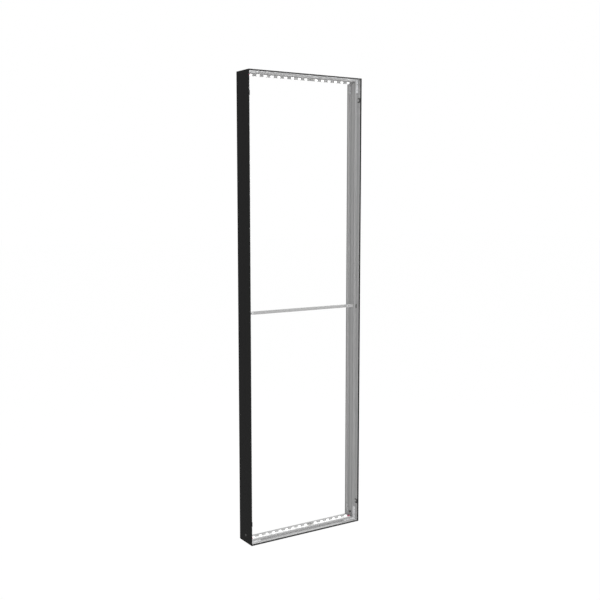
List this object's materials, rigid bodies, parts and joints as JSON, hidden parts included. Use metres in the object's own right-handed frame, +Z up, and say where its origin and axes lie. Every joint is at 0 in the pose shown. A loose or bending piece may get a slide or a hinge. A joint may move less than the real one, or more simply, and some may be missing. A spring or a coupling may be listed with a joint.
{
  "type": "wall mounted showcase",
  "caption": "Tall, open, wall-mounted display frame of black mitred aluminium extrusion, edge-lit by light bars on the top and bottom rails, with a sliding brace across the middle.",
  "frame": {"origin": "on the wall plane, at the middle of the frame's bottom edge", "axes": "+X to the viewer's right, +Y back into the wall, +Z up"},
  "size_m": [0.7, 0.13, 2.48],
  "materials": {
    "extrusion": "mill finish inside, black powder coat on the outer faces and lips",
    "plated_steel": "bright zinc plate",
    "plain_steel": "dull, uncoated strip",
    "black_steel": "black oxide",
    "carrier": "clear anodised",
    "circuit_board": "white solder mask",
    "lens": "milky moulded plastic",
    "light_chip": "yellow phosphor",
    "white_plastic": "moulded",
    "red_plastic": "moulded",
    "black_plastic": "moulded, fine grain",
    "red_insulation": "satin",
    "grey_insulation": "satin",
    "black_insulation": "satin",
    "rubber": "matte",
    "brace_tube": "clear anodised",
    "cast_alloy": "die cast, tumbled"
  },
  "bodies": {
    "frame": {"left_post": "extrusion", "right_post": "extrusion", "top_rail": "extrusion", "bottom_rail": "extrusion", "bracket_front_top_left": "plated_steel", "bracket_front_top_right": "plated_steel", "bracket_front_bottom_left": "plated_steel", "bracket_front_bottom_right": "plated_steel", "bracket_rear_top_left": "plain_steel", "bracket_rear_top_right": "plain_steel", "bracket_rear_bottom_left": "plain_steel", "bracket_rear_bottom_right": "plain_steel", "grub_screws": "black_steel", "led_carrier_top": "carrier", "led_carrier_bottom": "carrier", "led_board_top_long": "circuit_board", "led_board_top_short": "circuit_board", "led_board_bottom_long": "circuit_board", "led_board_bottom_short": "circuit_board", "led_lenses_top_long": "lens", "led_lenses_top_short": "lens", "led_lenses_bottom_long": "lens", "led_lenses_bottom_short": "lens", "led_chips_top": "light_chip", "led_chips_bottom": "light_chip", "board_jumper_top": "white_plastic", "board_jumper_bottom": "white_plastic", "wire_plug_bottom_right": "red_plastic", "wire_plug_bottom_left": "red_plastic", "wire_plug_top_left": "red_plastic", "power_socket_left": "black_plastic", "power_socket_right": "black_plastic", "socket_nuts": "plated_steel", "wire_red_right": "red_insulation", "wire_grey_right": "grey_insulation", "wire_red_left": "red_insulation", "wire_grey_left": "grey_insulation", "riser_lead": "black_insulation", "riser_grommet_bottom": "rubber", "riser_grommet_top": "rubber", "edge_clip_top_left": "black_plastic", "edge_clip_top_right": "black_plastic", "edge_clip_bottom_left": "black_plastic", "edge_clip_bottom_right": "black_plastic", "channel_nut_left": "black_steel", "channel_nut_right": "black_steel", "wall_hook_left": "plated_steel", "wall_hook_right": "plated_steel"},
    "brace": {"brace_tube": "brace_tube", "lock_block_left": "cast_alloy", "lock_block_right": "cast_alloy", "lock_screws": "plated_steel"}
  },
  "joints": [
    {"name": "brace_slide", "type": "slide", "parent": "frame", "child": "brace", "axis": [0, 0, 1], "range_m": [-1.1, 1.1]}
  ]
}
